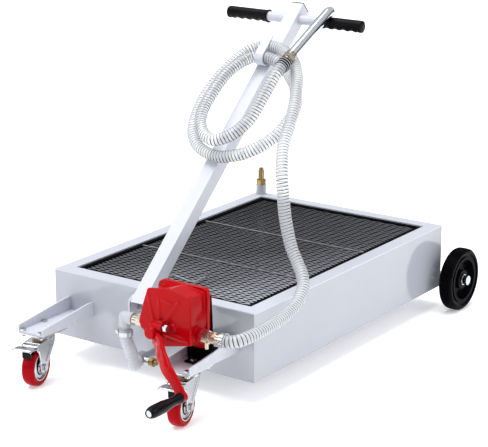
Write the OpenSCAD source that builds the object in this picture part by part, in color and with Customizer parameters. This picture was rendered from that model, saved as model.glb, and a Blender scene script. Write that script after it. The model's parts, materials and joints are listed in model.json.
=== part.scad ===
// Low wheeled oil drain pan with a lift-out screen, a leaning T handle and a hand-cranked rotary pump.
// Millimetres, +Z up, +X to the right seen from the pump end, +Y towards the fixed wheels.
// Modules are drawn with y = 0 on the tank's front face and z = 0 on the floor, then moved to the origin.

/* [Tank] */
// Width of the tank over its side walls
tank_w = 620; // [500:10:800]
// Length of the tank from front wall to rear wall
tank_l = 920; // [700:10:1200]
// Height of the tank walls
tank_h = 176; // [120:2:260]
// Gap between the floor and the tank's underside
tank_gap = 61; // [50:1:90]
// Thickness of the tank's sheet
sheet = 3; // [2:0.5:4]
// Width of the flange round the mouth at the sides and rear
rim_side = 38; // [25:1:60]
// Width of the flange at the front
rim_front = 41; // [25:1:60]

/* [Screen] */
// Depth of the ledge that carries the screen below the rim's top
lip_h = 9; // [8:1:30]
// Width of the screen's black border
border = 12; // [8:1:20]
// Width of the light flat rods across the screen
rod_w = 5; // [3:0.5:8]

/* [Handle] */
// Side of the square handle tube
tube = 38; // [30:1:50]
// Angle of the tube from the horizontal as it rests on the rim
lean = 42.4; // [35:0.1:60]
// Distance of the handle from the tank's centre line
handle_x = 9; // [-20:1:20]
// Length of the tube above the rim
tube_up = 893; // [700:1:1100]
// Length of the tube below the rim
tube_down = 59; // [50:1:80]
// Length of the T bar
bar_l = 422; // [350:2:500]
// Diameter of the T bar
bar_d = 27; // [22:1:32]
// Length of each grip
grip_l = 131; // [100:1:150]

/* [Wheels] */
// Diameter of the rear tyres
tyre_d = 175; // [150:1:200]
// Width of the rear tyres
tyre_w = 38.5; // [30:0.5:50]
// Outer face of the rear tyres from the centre line
tyre_out = 381; // [340:1:400]
// Distance of the rear axle behind the tank's front face
axle_y = 933; // [930:1:960]
// Diameter of the caster wheels
caster_d = 100; // [75:1:125]
// Width of the caster treads
caster_w = 33; // [25:1:40]
// Horizontal distance from the swivel axis to the caster's axle
trail = 40; // [30:1:45]
// Turn of the left caster about its swivel axis
turn_left = 13; // [-180:1:180]
// Turn of the right caster about its swivel axis
turn_right = 12; // [-180:1:180]

/* [Pump] */
// Distance of the pump cover's front face before the tank
pump_front = 185; // [150:1:200]
// Depth of the pump from mounting flange to cover face
pump_deep = 80; // [60:1:100]
// Length of the crank's black grip
crank_grip_l = 120; // [90:1:140]

/* [Hose] */
// Outside diameter of the discharge hose
hose_d = 32; // [20:1:40]

/* [Hidden] */
$fn = 48;
tank_top = tank_gap + tank_h;
mouth_x = tank_w / 2 - rim_side;
mouth_y0 = rim_front;
mouth_y1 = tank_l - rim_side;
ledge = 12;
screen_z = tank_top - lip_h;
axle_z = tyre_d / 2;
arm_x = 225;
arm_w = 80;
arm_l = 196;
arm_z = 132;
swivel_y = -150;
caster_r = caster_d / 2;
hub_x = 162;
hub_z = 221;
crank_y = -278;
crank_x = 304;
crank_z = 116;
grip_end_y = crank_y - crank_grip_l - 6;
mid_y = (axle_y + tyre_d / 2 + grip_end_y) / 2;
port_y = -145;
port_z = 216;
rim_touch = tube / 2 + 0.3;
up = [0, cos(lean), sin(lean)];
out = [0, -sin(lean), cos(lean)];
foot = [handle_x, 0, tank_top] + rim_touch * out;
pivot_s = -42;
pivot = foot + pivot_s * up;
spout_a = [111, 657, 86];
spout_slope = atan2(29.1 - 86, 856 - 657);

// The discharge hose's centre line: first from the pump round the tank's corner, in the tank's own frame
hose_low = [
  [318, -145, 216], [341, -144.5, 216], [363, -130, 221], [374, -98, 226], [378, -56, 229], [378, -8, 233],
  [376, 44, 239], [371, 92, 251], [360, 134, 273], [341, 160, 296], [317, 177, 317], [290, 188, 352],
  [274, 194, 392], [264, 197, 430], [258, 200, 468], [248, 207, 525]
];
// then up the handle and twice through its hook: across, along the tube, and out from the tube
hose_high = [
  [214, 417, 68], [200, 481, 66], [175, 562, 62], [141, 636, 53], [98, 691, 44], [50, 721, 40],
  [14, 729, 39], [-14, 728, 39], [-51, 706, 39], [-84, 650, 39], [-104, 577, 39], [-106, 506, 39],
  [-87, 438, 39], [-46, 395, 38], [22, 377, 37], [87, 398, 35], [132, 440, 32], [154, 488, 28],
  [158, 558, 22], [130, 620, 22], [88, 662, 28], [47, 686, 36], [14, 694, 39], [-13, 693, 40],
  [-41, 671, 47], [-61, 618, 60],
  [-66, 550, 68], [-62, 476, 72], [-38, 428, 72], [8, 402, 72], [54, 424, 72], [87, 474, 76],
  [102, 538, 89], [109, 590, 97.5], [111, 627, 94.6], [111, 657, 86]
];
function on_handle(p) = foot + [p[0], 0, 0] + p[1] * up + p[2] * out;
hose_route = concat(hose_low, [for (p = hose_high) on_handle(p)]);

function unit(v) = v / norm(v);
function tangents(c, a, b) = [for (i = [0 : len(c) - 1])
  i == 0 ? a : i == len(c) - 1 ? b : unit(c[i + 1] - c[i - 1])];
function across(v, t) = unit(v - (v * t) * t);
function carried(t, i, v) = i == len(t) ? [] :
  let (w = across(v, t[i])) concat([w], carried(t, i + 1, w));

// ---------- helpers ----------
module placed() {
  translate([0, -mid_y, 0])
    children();
}

module handle_frame() {
  placed()
    translate(foot)
      rotate([lean, 0, 0])
        children();
}

module bar_x(r, x0, x1) {
  translate([x0, 0, 0])
    rotate([0, 90, 0])
      cylinder(r = r, h = x1 - x0);
}

module bar_y(r, y0, y1) {
  translate([0, y1, 0])
    rotate([90, 0, 0])
      cylinder(r = r, h = y1 - y0);
}

module hex_x(af, x0, x1) {
  translate([x0, 0, 0])
    rotate([0, 90, 0])
      cylinder(r = af / sqrt(3), h = x1 - x0, $fn = 6);
}

module hex_y(af, y0, y1) {
  translate([0, y1, 0])
    rotate([90, 0, 0])
      cylinder(r = af / sqrt(3), h = y1 - y0, $fn = 6);
}

// A straight bar between two points
module strut(a, b, r) {
  d = b - a;
  translate(a)
    rotate([0, acos(d[2] / norm(d)), atan2(d[1], d[0])])
      cylinder(r = r, h = norm(d));
}

// A tube or rod swept along points, with its end faces square to the directions a and b
module swept(c, r, a, b, sides) {
  t = tangents(c, a, b);
  n = carried(t, 0, cross(a, [0.31, 0.17, 0.94]));
  last = (len(c) - 1) * sides;
  polyhedron(
    points = [for (i = [0 : len(c) - 1]) for (k = [0 : sides - 1])
      c[i] + r * (cos(360 * k / sides) * n[i] + sin(360 * k / sides) * cross(t[i], n[i]))],
    faces = concat(
      [[for (k = [sides - 1 : -1 : 0]) k]],
      [[for (k = [0 : sides - 1]) last + k]],
      [for (i = [0 : len(c) - 2]) for (k = [0 : sides - 1])
        [i * sides + k, i * sides + (k + 1) % sides, (i + 1) * sides + k]],
      [for (i = [0 : len(c) - 2]) for (k = [0 : sides - 1])
        [i * sides + (k + 1) % sides, (i + 1) * sides + (k + 1) % sides, (i + 1) * sides + k]]
    )
  );
}

// ---------- tank ----------
module tank_body() {
  wall_h = tank_h - sheet;
  seam = 0.02;
  color([0.81, 0.82, 0.86])
    placed() {
      translate([-tank_w / 2 + sheet + seam, sheet + seam, tank_gap])
        cube([tank_w - 2 * (sheet + seam), tank_l - 2 * (sheet + seam), sheet]);
      for (x = [-tank_w / 2, tank_w / 2 - sheet])
        translate([x, 0, tank_gap])
          cube([sheet, tank_l, wall_h]);
      translate([-tank_w / 2 + sheet + seam, tank_l - sheet, tank_gap])
        cube([tank_w - 2 * (sheet + seam), sheet, wall_h]);
      difference() {
        translate([-tank_w / 2 + sheet + seam, 0, tank_gap])
          cube([tank_w - 2 * (sheet + seam), sheet, wall_h]);
        translate([12, 0, 78])
          bar_y(10.5, -1, sheet + 1);
      }
    }
}

module tank_rim() {
  color([0.9, 0.91, 0.96])
    placed()
      difference() {
        union() {
          translate([-tank_w / 2, 0, tank_top - sheet])
            cube([tank_w, tank_l, sheet]);
          translate([-mouth_x - sheet, mouth_y0 - sheet, screen_z - sheet])
            cube([2 * (mouth_x + sheet), mouth_y1 - mouth_y0 + 2 * sheet, lip_h + sheet - 1]);
        }
        translate([-mouth_x, mouth_y0, screen_z])
          cube([2 * mouth_x, mouth_y1 - mouth_y0, lip_h + 1]);
        translate([-mouth_x + ledge, mouth_y0 + ledge, screen_z - sheet - 1])
          cube([2 * (mouth_x - ledge), mouth_y1 - mouth_y0 - 2 * ledge, lip_h]);
        translate([-288, 904, tank_top - sheet - 1])
          cylinder(r = 12.05, h = sheet + 2);
      }
}

// An open channel that carries a caster, with side walls that get lower towards its front end
module arm() {
  difference() {
    rotate([90, 0, 90])
      translate([0, 0, -arm_w / 2])
        linear_extrude(arm_w)
          polygon([[0, 0], [0, 39], [-20, 39], [-arm_l, 18], [-arm_l, 0]]);
    translate([-arm_w / 2 + 4, -arm_l - 1, 4])
      cube([arm_w - 8, arm_l + 2, 60]);
    for (x = [-28, 28], y = [-190, -110])
      translate([x, y, -1])
        cylinder(r = 4.6, h = 6);
  }
}

module arm_left() {
  color([0.81, 0.82, 0.86])
    placed()
      translate([-arm_x, 0, arm_z])
        arm();
}

module arm_right() {
  color([0.81, 0.82, 0.86])
    placed()
      translate([arm_x, 0, arm_z])
        arm();
}

module caster_plates() {
  color([0.78, 0.79, 0.8])
    placed()
      for (s = [-1, 1])
        translate([s * arm_x, 0, arm_z - 4])
          difference() {
            translate([-38, swivel_y - 48, 0])
              cube([76, 96, 4]);
            for (x = [-28, 28], y = [-190, -110])
              translate([x, y, -1])
                cylinder(r = 4.6, h = 6);
            translate([0, swivel_y, -1])
              cylinder(r = 6.05, h = 6);
          }
}

module caster_bolts() {
  color([0.8, 0.8, 0.78])
    placed()
      for (s = [-1, 1], x = [-28, 28], y = [-190, -110])
        translate([s * arm_x + x, y, arm_z]) {
          translate([0, 0, -9])
            cylinder(r = 4.5, h = 15);
          translate([0, 0, 4])
            cylinder(r = 7.5, h = 5, $fn = 6);
          translate([0, 0, -9])
            cylinder(r = 7.5, h = 5, $fn = 6);
        }
}

// ---------- rear wheels ----------
module rear_axle() {
  color([0.62, 0.63, 0.65])
    placed()
      translate([0, axle_y, axle_z])
        bar_x(10, -tyre_out - 6, tyre_out + 6);
}

module axle_brackets() {
  color([0.81, 0.82, 0.86])
    placed()
      for (x = [-270, 0, 270])
        translate([x - 3, 0, 0])
          difference() {
            rotate([90, 0, 90])
              linear_extrude(6)
                polygon([[tank_l, 70], [tank_l + 6, 64], [tank_l + 27, 70], [tank_l + 30, 98],
                  [tank_l + 10, 150], [tank_l, 150]]);
            translate([0, axle_y, axle_z])
              bar_x(10.05, -1, 7);
          }
}

module axle_nuts() {
  color([0.85, 0.86, 0.87])
    placed()
      for (s = [-1, 1])
        mirror([s < 0 ? 1 : 0, 0, 0])
          translate([0, axle_y, axle_z]) {
            difference() {
              bar_x(16, tyre_out - tyre_w - 3.2, tyre_out - tyre_w - 0.4);
              bar_x(10, tyre_out - tyre_w - 5, tyre_out);
            }
            difference() {
              bar_x(15, tyre_out - 5.7, tyre_out - 3);
              bar_x(10, tyre_out - 8, tyre_out);
            }
            difference() {
              bar_x(13, tyre_out - 3, tyre_out + 10);
              bar_x(10, tyre_out - 4, tyre_out + 6);
            }
          }
}

module tyre_at(side) {
  mirror([side < 0 ? 1 : 0, 0, 0])
    translate([tyre_out - tyre_w, axle_y, axle_z])
      rotate([0, 90, 0])
        rotate_extrude($fn = 96)
          polygon([[64, 1], [80, 0], [tyre_d / 2 - 3, 3], [tyre_d / 2, 8], [tyre_d / 2, tyre_w - 8],
            [tyre_d / 2 - 3, tyre_w - 3], [80, tyre_w], [64, tyre_w - 1]]);
}

module tyre_left() {
  color([0.1, 0.1, 0.11])
    placed()
      tyre_at(-1);
}

module tyre_right() {
  color([0.1, 0.1, 0.11])
    placed()
      tyre_at(1);
}

module rim_at(side) {
  mirror([side < 0 ? 1 : 0, 0, 0])
    translate([tyre_out - tyre_w, axle_y, axle_z])
      rotate([0, 90, 0])
        difference() {
          rotate_extrude($fn = 96)
            polygon([[10.06, 0], [26, 0], [26, 12], [56, 12], [56, 1], [64, 1], [64, tyre_w - 1],
              [56, tyre_w - 1], [53, 20], [27, 20], [26, tyre_w - 6], [10.06, tyre_w - 6]]);
          for (a = [0 : 60 : 300])
            rotate([0, 0, a])
              translate([41, 0, 5])
                cylinder(r = 6, h = 20);
        }
}

module rim_left() {
  color([0.12, 0.12, 0.13])
    placed()
      rim_at(-1);
}

module rim_right() {
  color([0.12, 0.12, 0.13])
    placed()
      rim_at(1);
}

// ---------- casters, drawn about the swivel axis with the wheel towards -y ----------
module caster_frame(side) {
  placed()
    translate([side * arm_x, swivel_y, 0])
      rotate([0, 0, side < 0 ? turn_left : turn_right])
        children();
}

module fork() {
  difference() {
    union() {
      translate([0, 0, 112])
        cylinder(r = 6, h = 19.5);
      translate([0, 0, 116])
        cylinder(r = 27, h = 11.6);
      translate([-23, -57, 112])
        cube([46, 79, 4]);
      for (x = [-23, 20])
        translate([x, 0, 0])
          rotate([90, 0, 90])
            linear_extrude(3)
              polygon([[22, 112], [20, 98], [2, 80], [-20, 44], [-30, 37], [-50, 37], [-58, 46],
                [-58, 84], [-72, 100], [-72, 112]]);
      translate([0, -65, 107])
        bar_x(3, -24.5, 24.5);
    }
    translate([0, -trail, caster_r])
      bar_x(5.05, -30, 30);
  }
}

module caster_axle() {
  translate([0, -trail, caster_r]) {
    bar_x(5, -29, 29);
    hex_x(16, 23.05, 30);
    hex_x(16, -30, -23.05);
  }
}

module caster_tread() {
  translate([0, -trail, caster_r])
    rotate([0, 90, 0])
      rotate_extrude($fn = 96)
        polygon([[36, -15.5], [42, -16.5], [46, -15.5], [48.6, -12], [49.7, -7], [50, 0],
          [49.7, 7], [48.6, 12], [46, 15.5], [42, 16.5], [36, 15.5]]);
}

module caster_hub() {
  translate([0, -trail, caster_r])
    rotate([0, 90, 0])
      rotate_extrude($fn = 96)
        polygon([[5.06, -19], [12, -19], [13, -13], [29, -11], [32, -15], [36, -15], [36, 15],
          [32, 15], [29, 11], [13, 13], [12, 19], [5.06, 19]]);
}

module pedal() {
  difference() {
    union() {
      translate([0, -65, 107])
        bar_x(6, -19.4, 19.4);
      translate([-19.4, -80, 108])
        cube([38.8, 16, 4]);
      rotate([90, 0, 90])
        translate([0, 0, -27])
          linear_extrude(54)
            polygon([[-74, 108], [-74, 112], [-86, 115], [-110, 117], [-112, 115], [-112, 112],
              [-86, 110]]);
      rotate([90, 0, 90])
        translate([0, 0, -12])
          linear_extrude(24)
            polygon([[-70, 110], [-70, 94], [-84, 82.5], [-88, 84], [-88, 112]]);
    }
    translate([0, -65, 107])
      bar_x(3.06, -30, 30);
  }
}

module fork_left() {
  color([0.8, 0.81, 0.82])
    caster_frame(-1)
      fork();
}

module fork_right() {
  color([0.8, 0.81, 0.82])
    caster_frame(1)
      fork();
}

module caster_axle_left() {
  color([0.86, 0.87, 0.88])
    caster_frame(-1)
      caster_axle();
}

module caster_axle_right() {
  color([0.86, 0.87, 0.88])
    caster_frame(1)
      caster_axle();
}

module caster_tread_left() {
  color([0.72, 0.07, 0.1])
    caster_frame(-1)
      caster_tread();
}

module caster_tread_right() {
  color([0.72, 0.07, 0.1])
    caster_frame(1)
      caster_tread();
}

module caster_hub_left() {
  color([0.85, 0.85, 0.86])
    caster_frame(-1)
      caster_hub();
}

module caster_hub_right() {
  color([0.85, 0.85, 0.86])
    caster_frame(1)
      caster_hub();
}

module pedal_left() {
  color([0.82, 0.83, 0.84])
    caster_frame(-1)
      pedal();
}

module pedal_right() {
  color([0.82, 0.83, 0.84])
    caster_frame(1)
      pedal();
}

// ---------- rear left corner fitting ----------
module corner_pipe() {
  color([0.78, 0.79, 0.82])
    placed()
      translate([-288, 904, 0])
        difference() {
          union() {
            translate([0, 0, 80])
              cylinder(r = 12, h = tank_top - 80);
            translate([0, 0, tank_top])
              cylinder(r = 15, h = 29);
          }
          translate([0, 0, 79])
            cylinder(r = 9, h = tank_top);
        }
}

module corner_bushing() {
  color([0.72, 0.6, 0.3])
    placed()
      translate([-288, 904, tank_top + 29])
        difference() {
          cylinder(r = 27 / sqrt(3), h = 15, $fn = 6);
          translate([0, 0, -1])
            cylinder(r = 7, h = 20);
        }
}

module corner_barb() {
  color([0.78, 0.66, 0.36])
    placed()
      translate([-288, 904, tank_top + 44])
        rotate_extrude()
          polygon(concat([[5.5, 0]], [for (k = [0 : 4]) for (e = [[9.5, 0.5], [7.5, 5.5]])
            [e[0], k * 6 + e[1]]], [[7.5, 35], [5.5, 35]]));
}

// ---------- handle ----------
module handle_bracket() {
  color([0.81, 0.82, 0.86])
    placed()
      translate([handle_x, 0, 0])
        difference() {
          union() {
                  translate([-24.5, -4, 185])
              cube([49, 4, 46]);
            for (x = [-24.5, 20.5])
              translate([x, 0, 0])
                rotate([90, 0, 90])
                  linear_extrude(4)
                    polygon([[-4, 185], [-4, 237], [-52, 237], [-68, 228], [-70, 222], [-70, 185]]);
          }
          translate([0, pivot[1], pivot[2]])
            bar_x(6.05, -30, 30);
        }
}

module pivot_bolt() {
  color([0.85, 0.86, 0.87])
    placed()
      translate([handle_x, pivot[1], pivot[2]]) {
        bar_x(6, -31, 31);
        hex_x(17, 24.6, 32);
        hex_x(17, -32, -24.6);
      }
}

module handle_tube() {
  color([0.9, 0.91, 0.96])
    handle_frame()
      difference() {
        translate([-tube / 2, -tube_down, -tube / 2])
          cube([tube, tube_up + tube_down, tube]);
        translate([-tube / 2 + 2, -tube_down - 1, -tube / 2 + 2])
          cube([tube - 4, tube_up + tube_down + 2, tube - 4]);
        translate([0, pivot_s, 0])
          bar_x(6.06, -30, 30);
        translate([0, 856, -3])
          bar_x(bar_d / 2 + 0.02, -30, 30);
      }
}

module tube_cap() {
  color([0.08, 0.08, 0.09])
    handle_frame() {
      translate([-tube / 2, tube_up, -tube / 2])
        cube([tube, 3, tube]);
      translate([-tube / 2 + 2.2, tube_up - 12, -tube / 2 + 2.2])
        cube([tube - 4.4, 12, tube - 4.4]);
    }
}

module t_bar() {
  color([0.9, 0.91, 0.96])
    handle_frame()
      translate([0, 856, -3])
        difference() {
          bar_x(bar_d / 2, -bar_l / 2 + 4, bar_l / 2 - 4);
          bar_x(bar_d / 2 - 2, -bar_l, bar_l);
        }
}

module grip() {
  translate([0, 856, -3])
    rotate([0, 90, 0])
      rotate_extrude()
        polygon([[bar_d / 2 + 0.02, bar_l / 2 - grip_l], [18, bar_l / 2 - grip_l],
          [18, bar_l / 2 - grip_l + 3], [16.2, bar_l / 2 - grip_l + 5], [16.2, bar_l / 2 - 4],
          [14, bar_l / 2], [0, bar_l / 2], [0, bar_l / 2 - 4], [bar_d / 2 + 0.02, bar_l / 2 - 4]]);
}

module grip_left() {
  color([0.09, 0.09, 0.1])
    handle_frame()
      mirror([1, 0, 0])
        grip();
}

module grip_right() {
  color([0.09, 0.09, 0.1])
    handle_frame()
      grip();
}

module hose_hook() {
  color([0.9, 0.91, 0.96])
    handle_frame()
      translate([-12.5, 691, tube / 2 + 20]) {
        difference() {
          rotate([0, 90, 0])
            cylinder(r = 20, h = 25);
          translate([-1, 0, 0])
            rotate([0, 90, 0])
              cylinder(r = 17, h = 27);
          translate([-1, 0, -30])
            cube([27, 30, 60]);
        }
        translate([0, 0, -20])
          cube([25, 52, 3]);
        translate([0, 0, 17])
          cube([25, 60, 3]);
      }
}

// ---------- hose and nozzle ----------
spout_dir = cos(spout_slope) * up + sin(spout_slope) * out;

module discharge_hose() {
  color([0.84, 0.86, 0.88])
    placed()
      swept(hose_route, hose_d / 2, [1, 0, 0], spout_dir, 10);
}

module spout_frame() {
  handle_frame()
    translate(spout_a)
      rotate([spout_slope, 0, 0])
        children();
}

module hose_end_clamp() {
  color([0.1, 0.1, 0.1])
    spout_frame()
      difference() {
        union() {
          bar_y(19, -22, -8);
          translate([-6, -21, 0])
            cube([12, 12, 24]);
        }
        bar_y(hose_d / 2 + 0.3, -23, 0);
      }
}

module nozzle_fitting() {
  color([0.68, 0.56, 0.3])
    spout_frame()
      difference() {
        union() {
          bar_y(14.5, 0.1, 6);
          hex_y(30, 6, 20);
          bar_y(15.5, 20, 30);
        }
        bar_y(7, -1, 40);
      }
}

module nozzle_spout() {
  color([0.85, 0.86, 0.88])
    spout_frame() {
      difference() {
        bar_y(14, 30, 216);
        bar_y(12, 29, 217);
      }
      translate([0, 216, -20])
        rotate([0, -90, 0])
          rotate_extrude(angle = 40)
            translate([20, 0])
              difference() {
                circle(r = 14);
                circle(r = 12);
              }
    }
}

// ---------- screen ----------
module screen_frame() {
  w = 2 * mouth_x - 3;
  l = mouth_y1 - mouth_y0 - 3;
  color([0.1, 0.1, 0.11])
    placed()
      translate([0, (mouth_y0 + mouth_y1) / 2, screen_z])
        difference() {
          translate([-w / 2, -l / 2, 0])
            cube([w, l, 6]);
          translate([-w / 2 + border, -l / 2 + border, 3])
            cube([w - 2 * border, l - 2 * border, 10]);
          translate([-w / 2 + border + 8, -l / 2 + border + 8, -1])
            cube([w - 2 * border - 16, l - 2 * border - 16, 10]);
        }
}

module screen_mesh() {
  w = 2 * mouth_x - 4 - 2 * border;
  l = mouth_y1 - mouth_y0 - 4 - 2 * border;
  pitch = 78;
  color([0.3, 0.31, 0.33])
    placed()
      for (side = [-1, 1], i = [-7 : 7])
        translate([0, (mouth_y0 + mouth_y1) / 2, screen_z + 3.05])
          intersection() {
            translate([-w / 2, -l / 2, side < 0 ? 0 : 0.72])
              cube([w, l, 0.7]);
            translate([0, i * pitch, 0])
              rotate([0, 0, 30 * side])
                translate([-w, -1.8, -1])
                  cube([2 * w, 3.6, 4]);
          }
}

module screen_rods() {
  w = 2 * mouth_x - 3 - 2 * border - 0.04;
  color([0.75, 0.76, 0.78])
    placed()
      for (y = [300, 585])
        translate([-w / 2, y - rod_w / 2, screen_z + 4.49])
          cube([w, rod_w, 1.9]);
}

module screen_pull() {
  route = [[-37, 134, 234.1], [-19, 126, 239], [21, 112, 240], [43, 106, 240], [53, 115, 240],
    [48, 152, 239], [41, 180, 234.1]];
  color([0.8, 0.81, 0.83])
    placed()
      swept(route, 1.5, unit([0.8, -0.3, 0.3]), unit([-0.2, 0.8, -0.5]), 8);
}

// ---------- pump ----------
cover_shape = [[131, 317], [188, 326], [255, 317], [257, 198], [184, 182], [145, 189], [121, 207],
  [104, 229], [119, 282]];
body_shape = [[136, 311], [188, 320], [249, 311], [251, 203], [184, 188], [148, 195], [126, 212],
  [111, 231], [125, 280]];
flange_shape = [[113, 310], [126, 321], [248, 321], [258, 312], [258, 222], [247, 172], [130, 178],
  [108, 196]];

module slab(shape, y0, y1) {
  translate([0, y1, 0])
    rotate([90, 0, 0])
      linear_extrude(y1 - y0)
        polygon(shape);
}

module pump_foot() {
  back = -pump_front + pump_deep;
  color([0.07, 0.07, 0.08])
    placed() {
      difference() {
        union() {
          translate([190, -98, arm_z + 4])
            cube([70, 76, 5]);
          translate([207, -140, arm_z + 4])
            cube([36, 50, 5]);
        }
        for (y = [-130, -56])
          translate([227, y, arm_z])
            cylinder(r = 4.6, h = 20);
      }
      difference() {
        slab([[190, 141], [260, 141], [260, 165], [264, 168], [258, 300], [128, 300], [128, 190],
          [190, 172]], back, back + 5);
        for (x = [142, 230], z = [200, 288])
          translate([x, 0, z])
            bar_y(4.6, back - 1, back + 6);
      }
      for (x = [190, 255])
        translate([x, 0, 0])
          rotate([90, 0, 90])
            linear_extrude(5)
              polygon([[back + 5, 141], [-30, 141], [-30, 148], [back + 5, 172]]);
    }
}

module pump_body() {
  back = -pump_front + pump_deep;
  color([0.7, 0.1, 0.12])
    placed()
      difference() {
        union() {
          slab(flange_shape, back - 12, back);
          slab(body_shape, -pump_front + 12, back - 12);
          translate([190, 0, 246])
            bar_y(65, -pump_front + 34, back - 12);
          translate([0, port_y, port_z]) {
            bar_x(16, 92, 150);
            bar_x(16, 200, 268);
          }
        }
        translate([172, 0, 234])
          bar_y(50, -pump_front, back - 14);
        translate([0, port_y, port_z]) {
          bar_x(9, 80, 170);
          bar_x(9, 180, 280);
        }
      }
}

module pump_cover() {
  color([0.72, 0.1, 0.12])
    placed()
      difference() {
        union() {
          slab(cover_shape, -pump_front, -pump_front + 12);
          translate([hub_x, 0, hub_z])
            bar_y(20, -pump_front - 6, -pump_front);
          for (a = [62, 108, 20])
            translate([hub_x, -pump_front, hub_z])
              rotate([0, -a, 0])
                translate([10, -3, -4])
                  cube([a == 62 ? 96 : 74, 3, 8]);
        }
        translate([hub_x, 0, hub_z])
          bar_y(9.05, -pump_front - 8, 0);
      }
}

module pump_bolts() {
  back = -pump_front + pump_deep;
  color([0.8, 0.8, 0.78])
    placed() {
      for (x = [142, 230], z = [200, 288])
        translate([x, 0, z]) {
          bar_y(4.5, back, back + 8);
          hex_y(13, back + 5, back + 11);
        }
      for (y = [-130, -56])
        translate([227, y, arm_z + 4]) {
          cylinder(r = 4.5, h = 8);
          translate([0, 0, 5])
            cylinder(r = 7.5, h = 5.5, $fn = 6);
        }
    }
}

module pump_rotor() {
  back = -pump_front + pump_deep;
  color([0.6, 0.61, 0.62])
    placed()
      translate([hub_x, 0, hub_z]) {
        bar_y(9, -216, back - 16);
        bar_y(33, -pump_front + 13, back - 15);
      }
}

module crank_hub() {
  color([0.72, 0.08, 0.11])
    placed()
      translate([hub_x, 0, hub_z])
        difference() {
          union() {
            bar_y(16, -218, -193);
            translate([0, -200, 15])
              bar_x(9, -4, 28);
          }
          bar_y(9, -216, -190);
        }
}

module crank_bolt() {
  color([0.85, 0.86, 0.87])
    placed()
      translate([hub_x, -200, hub_z + 15]) {
        bar_x(5, 28, 34);
        hex_x(15, 34, 42);
      }
}

// The cast arm runs down from the hub and out, so that the grip clears the casters
module crank_arm() {
  path = [[172, -206, 208], [191, -219, 205], [224, -250, 191], [255, -274, 176], [280, -278, 153],
    [crank_x, crank_y, crank_z]];
  wide = [17, 18, 17, 15, 13, 13];
  color([0.72, 0.08, 0.11])
    placed()
      difference() {
        for (i = [0 : 4])
          hull()
            for (k = [i, i + 1])
              translate(path[k])
                rotate([90, 0, 0])
                  cylinder(r = wide[k], h = 12, center = true, $fn = 32);
        translate([hub_x, 0, hub_z])
          bar_y(16, -230, -180);
        translate([hub_x, -200, hub_z + 15])
          bar_x(9, -4, 28);
      }
}

module crank_pin() {
  color([0.85, 0.86, 0.87])
    placed()
      translate([crank_x, 0, crank_z]) {
        bar_y(5, grip_end_y + 2, crank_y - 6);
        bar_y(8, grip_end_y + 2, grip_end_y + 5);
      }
}

module crank_grip() {
  l = crank_grip_l;
  color([0.06, 0.06, 0.07])
    placed()
      translate([crank_x, crank_y - 6.5, crank_z])
        rotate([90, 0, 0])
          rotate_extrude()
            polygon([[5.3, 0], [11.5, 0], [13, 6], [11, 20], [12.5, 45], [15, 75], [15, 100],
              [12.5, l - 3], [10, l - 0.5], [8.4, l - 0.5], [8.4, l - 6], [5.3, l - 6]]);
}

// ---------- plumbing ----------
module pump_inlet() {
  color([0.72, 0.6, 0.3])
    placed()
      translate([0, port_y, port_z])
        difference() {
          union() {
            hex_x(27, 76, 92);
            bar_x(12.5, 60, 76);
          }
          bar_x(8, 59, 93);
        }
}

module inlet_elbow() {
  color([0.78, 0.79, 0.82])
    placed()
      translate([34, port_y, port_z])
        difference() {
          union() {
            bar_x(15, 0, 26);
            sphere(r = 15);
            translate([0, 0, -22])
              cylinder(r = 15, h = 22);
            translate([0, 0, -30])
              cylinder(r = 12, h = 10);
          }
          bar_x(8, 0, 27);
          translate([0, 0, -31])
            cylinder(r = 8, h = 31);
        }
}

suction_route = [[34, -145, 186], [34, -145, 168], [33.5, -137, 148], [32.5, -125, 126],
  [31.5, -117, 106]];
elbow_route = [[31.5, -117, 106], [30.5, -112, 92], [28, -106, 81], [24, -96, 75], [18, -85, 74],
  [13.5, -76, 76], [12, -68, 77]];
suction_end = unit([-0.045, 0.37, -0.93]);

module suction_hose() {
  color([0.86, 0.87, 0.89])
    placed()
      swept(suction_route, 16, [0, 0, -1], suction_end, 12);
}

module outlet_elbow() {
  color([0.78, 0.79, 0.82])
    placed()
      swept(elbow_route, 14, suction_end, [0, 1, 0], 12);
}

module hose_clamps() {
  color([0.75, 0.75, 0.74])
    placed() {
      translate([34, -145, 170])
        difference() {
          union() {
            cylinder(r = 19, h = 11);
            translate([-26, -5, 1])
              cube([12, 10, 9]);
          }
          translate([0, 0, -1])
            cylinder(r = 16.6, h = 13);
        }
      translate([0, port_y, port_z])
        difference() {
          bar_x(19, 319.5, 330);
          bar_x(16.9, 319, 331);
        }
    }
}

module tank_outlet() {
  color([0.7, 0.7, 0.68])
    placed()
      difference() {
        union() {
          translate([12, 0, 78]) {
            bar_y(10.45, -50, 8);
            hex_y(24, 3.2, 10);
            hex_y(30, -68, -42);
          }
          translate([12, -56, 76])
            bar_x(10, 0, 28);
        }
        translate([12, 0, 78])
          bar_y(7, -60, 20);
        translate([12, -56, 76])
          bar_x(6, 0, 30);
      }
}

module drain_plug() {
  color([0.72, 0.58, 0.28])
    placed()
      translate([12, -56, 76]) {
        hex_x(22, 28, 40);
        bar_x(6.5, 40, 48);
      }
}

module pump_outlet() {
  color([0.78, 0.74, 0.62])
    placed()
      translate([0, port_y, port_z])
        difference() {
          union() {
            hex_x(30, 268, 284);
            bar_x(12, 284, 290);
            hex_x(27, 290, 305);
            bar_x(14, 305, 318);
            translate([276, 0, -30])
              cylinder(r = 4.5, h = 18);
          }
          bar_x(8, 267, 319);
        }
}

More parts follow.
